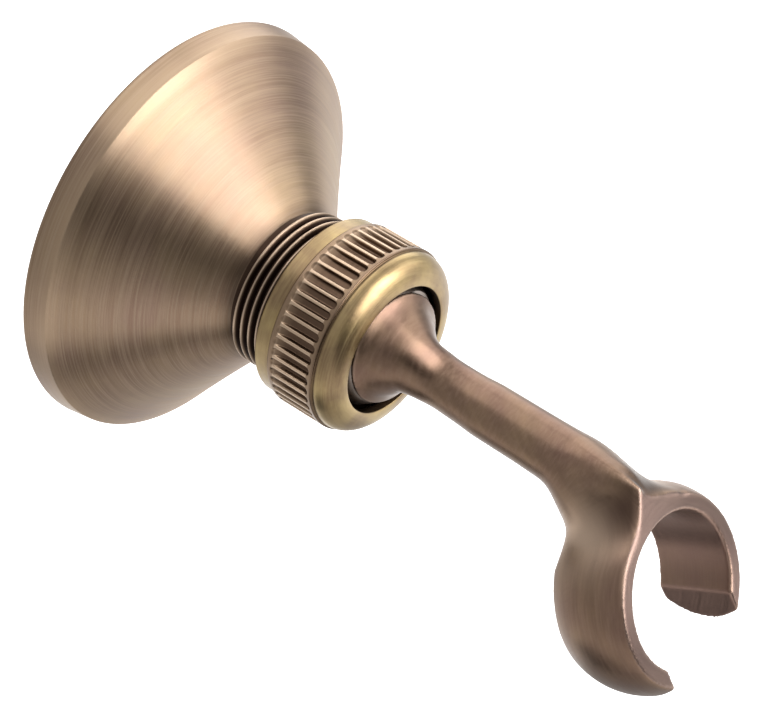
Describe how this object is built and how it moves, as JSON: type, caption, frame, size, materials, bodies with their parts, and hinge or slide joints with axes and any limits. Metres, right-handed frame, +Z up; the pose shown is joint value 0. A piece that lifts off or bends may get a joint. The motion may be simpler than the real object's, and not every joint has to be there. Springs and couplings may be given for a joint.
{
  "type": "hand shower holder",
  "caption": "Wall bracket with a conical flange, threaded neck, fluted clamp nut and ball joint carrying an arm with an open C-shaped cradle for a hand shower.",
  "frame": {"origin": "centre of the screw hole in the flange's back, in the wall plane", "axes": "+Y into the wall along the flange axis, -Y out into the room, +Z up, +X to the right for someone facing the wall"},
  "size_m": [0.0598, 0.0888, 0.0633],
  "materials": {
    "antique_brass": "brushed, antiqued",
    "bright_brass": "brushed, with darkened flutes",
    "dark_steel": "plain",
    "nylon": "moulded",
    "black_rubber": "matte"
  },
  "bodies": {
    "base": {"wall_flange": "antique_brass", "pressure_ring": "black_rubber"},
    "nut": {"clamp_nut": "bright_brass"},
    "seat": {"rear_seat": "nylon"},
    "ball": {"swivel_ball": "antique_brass", "ball_screw": "dark_steel"},
    "arm": {"cradle_arm": "antique_brass"}
  },
  "joints": [
    {"name": "nut_turn", "type": "hinge", "parent": "base", "child": "nut", "pos_m": [0, -0.0323, 0], "axis": [0, -1, 0], "range_deg": [-90, 90]},
    {"name": "swivel", "type": "hinge", "parent": "base", "child": "seat", "pos_m": [0, -0.0323, 0], "axis": [0, -1, 0], "continuous": true},
    {"name": "tilt", "type": "hinge", "parent": "seat", "child": "ball", "pos_m": [0, -0.0323, 0], "axis": [0, 0, 1], "range_deg": [-17.5, 4.5]},
    {"name": "arm_turn", "type": "hinge", "parent": "ball", "child": "arm", "pos_m": [0, -0.0323, 0], "axis": [0.1132, -0.9936, 0], "continuous": true}
  ]
}
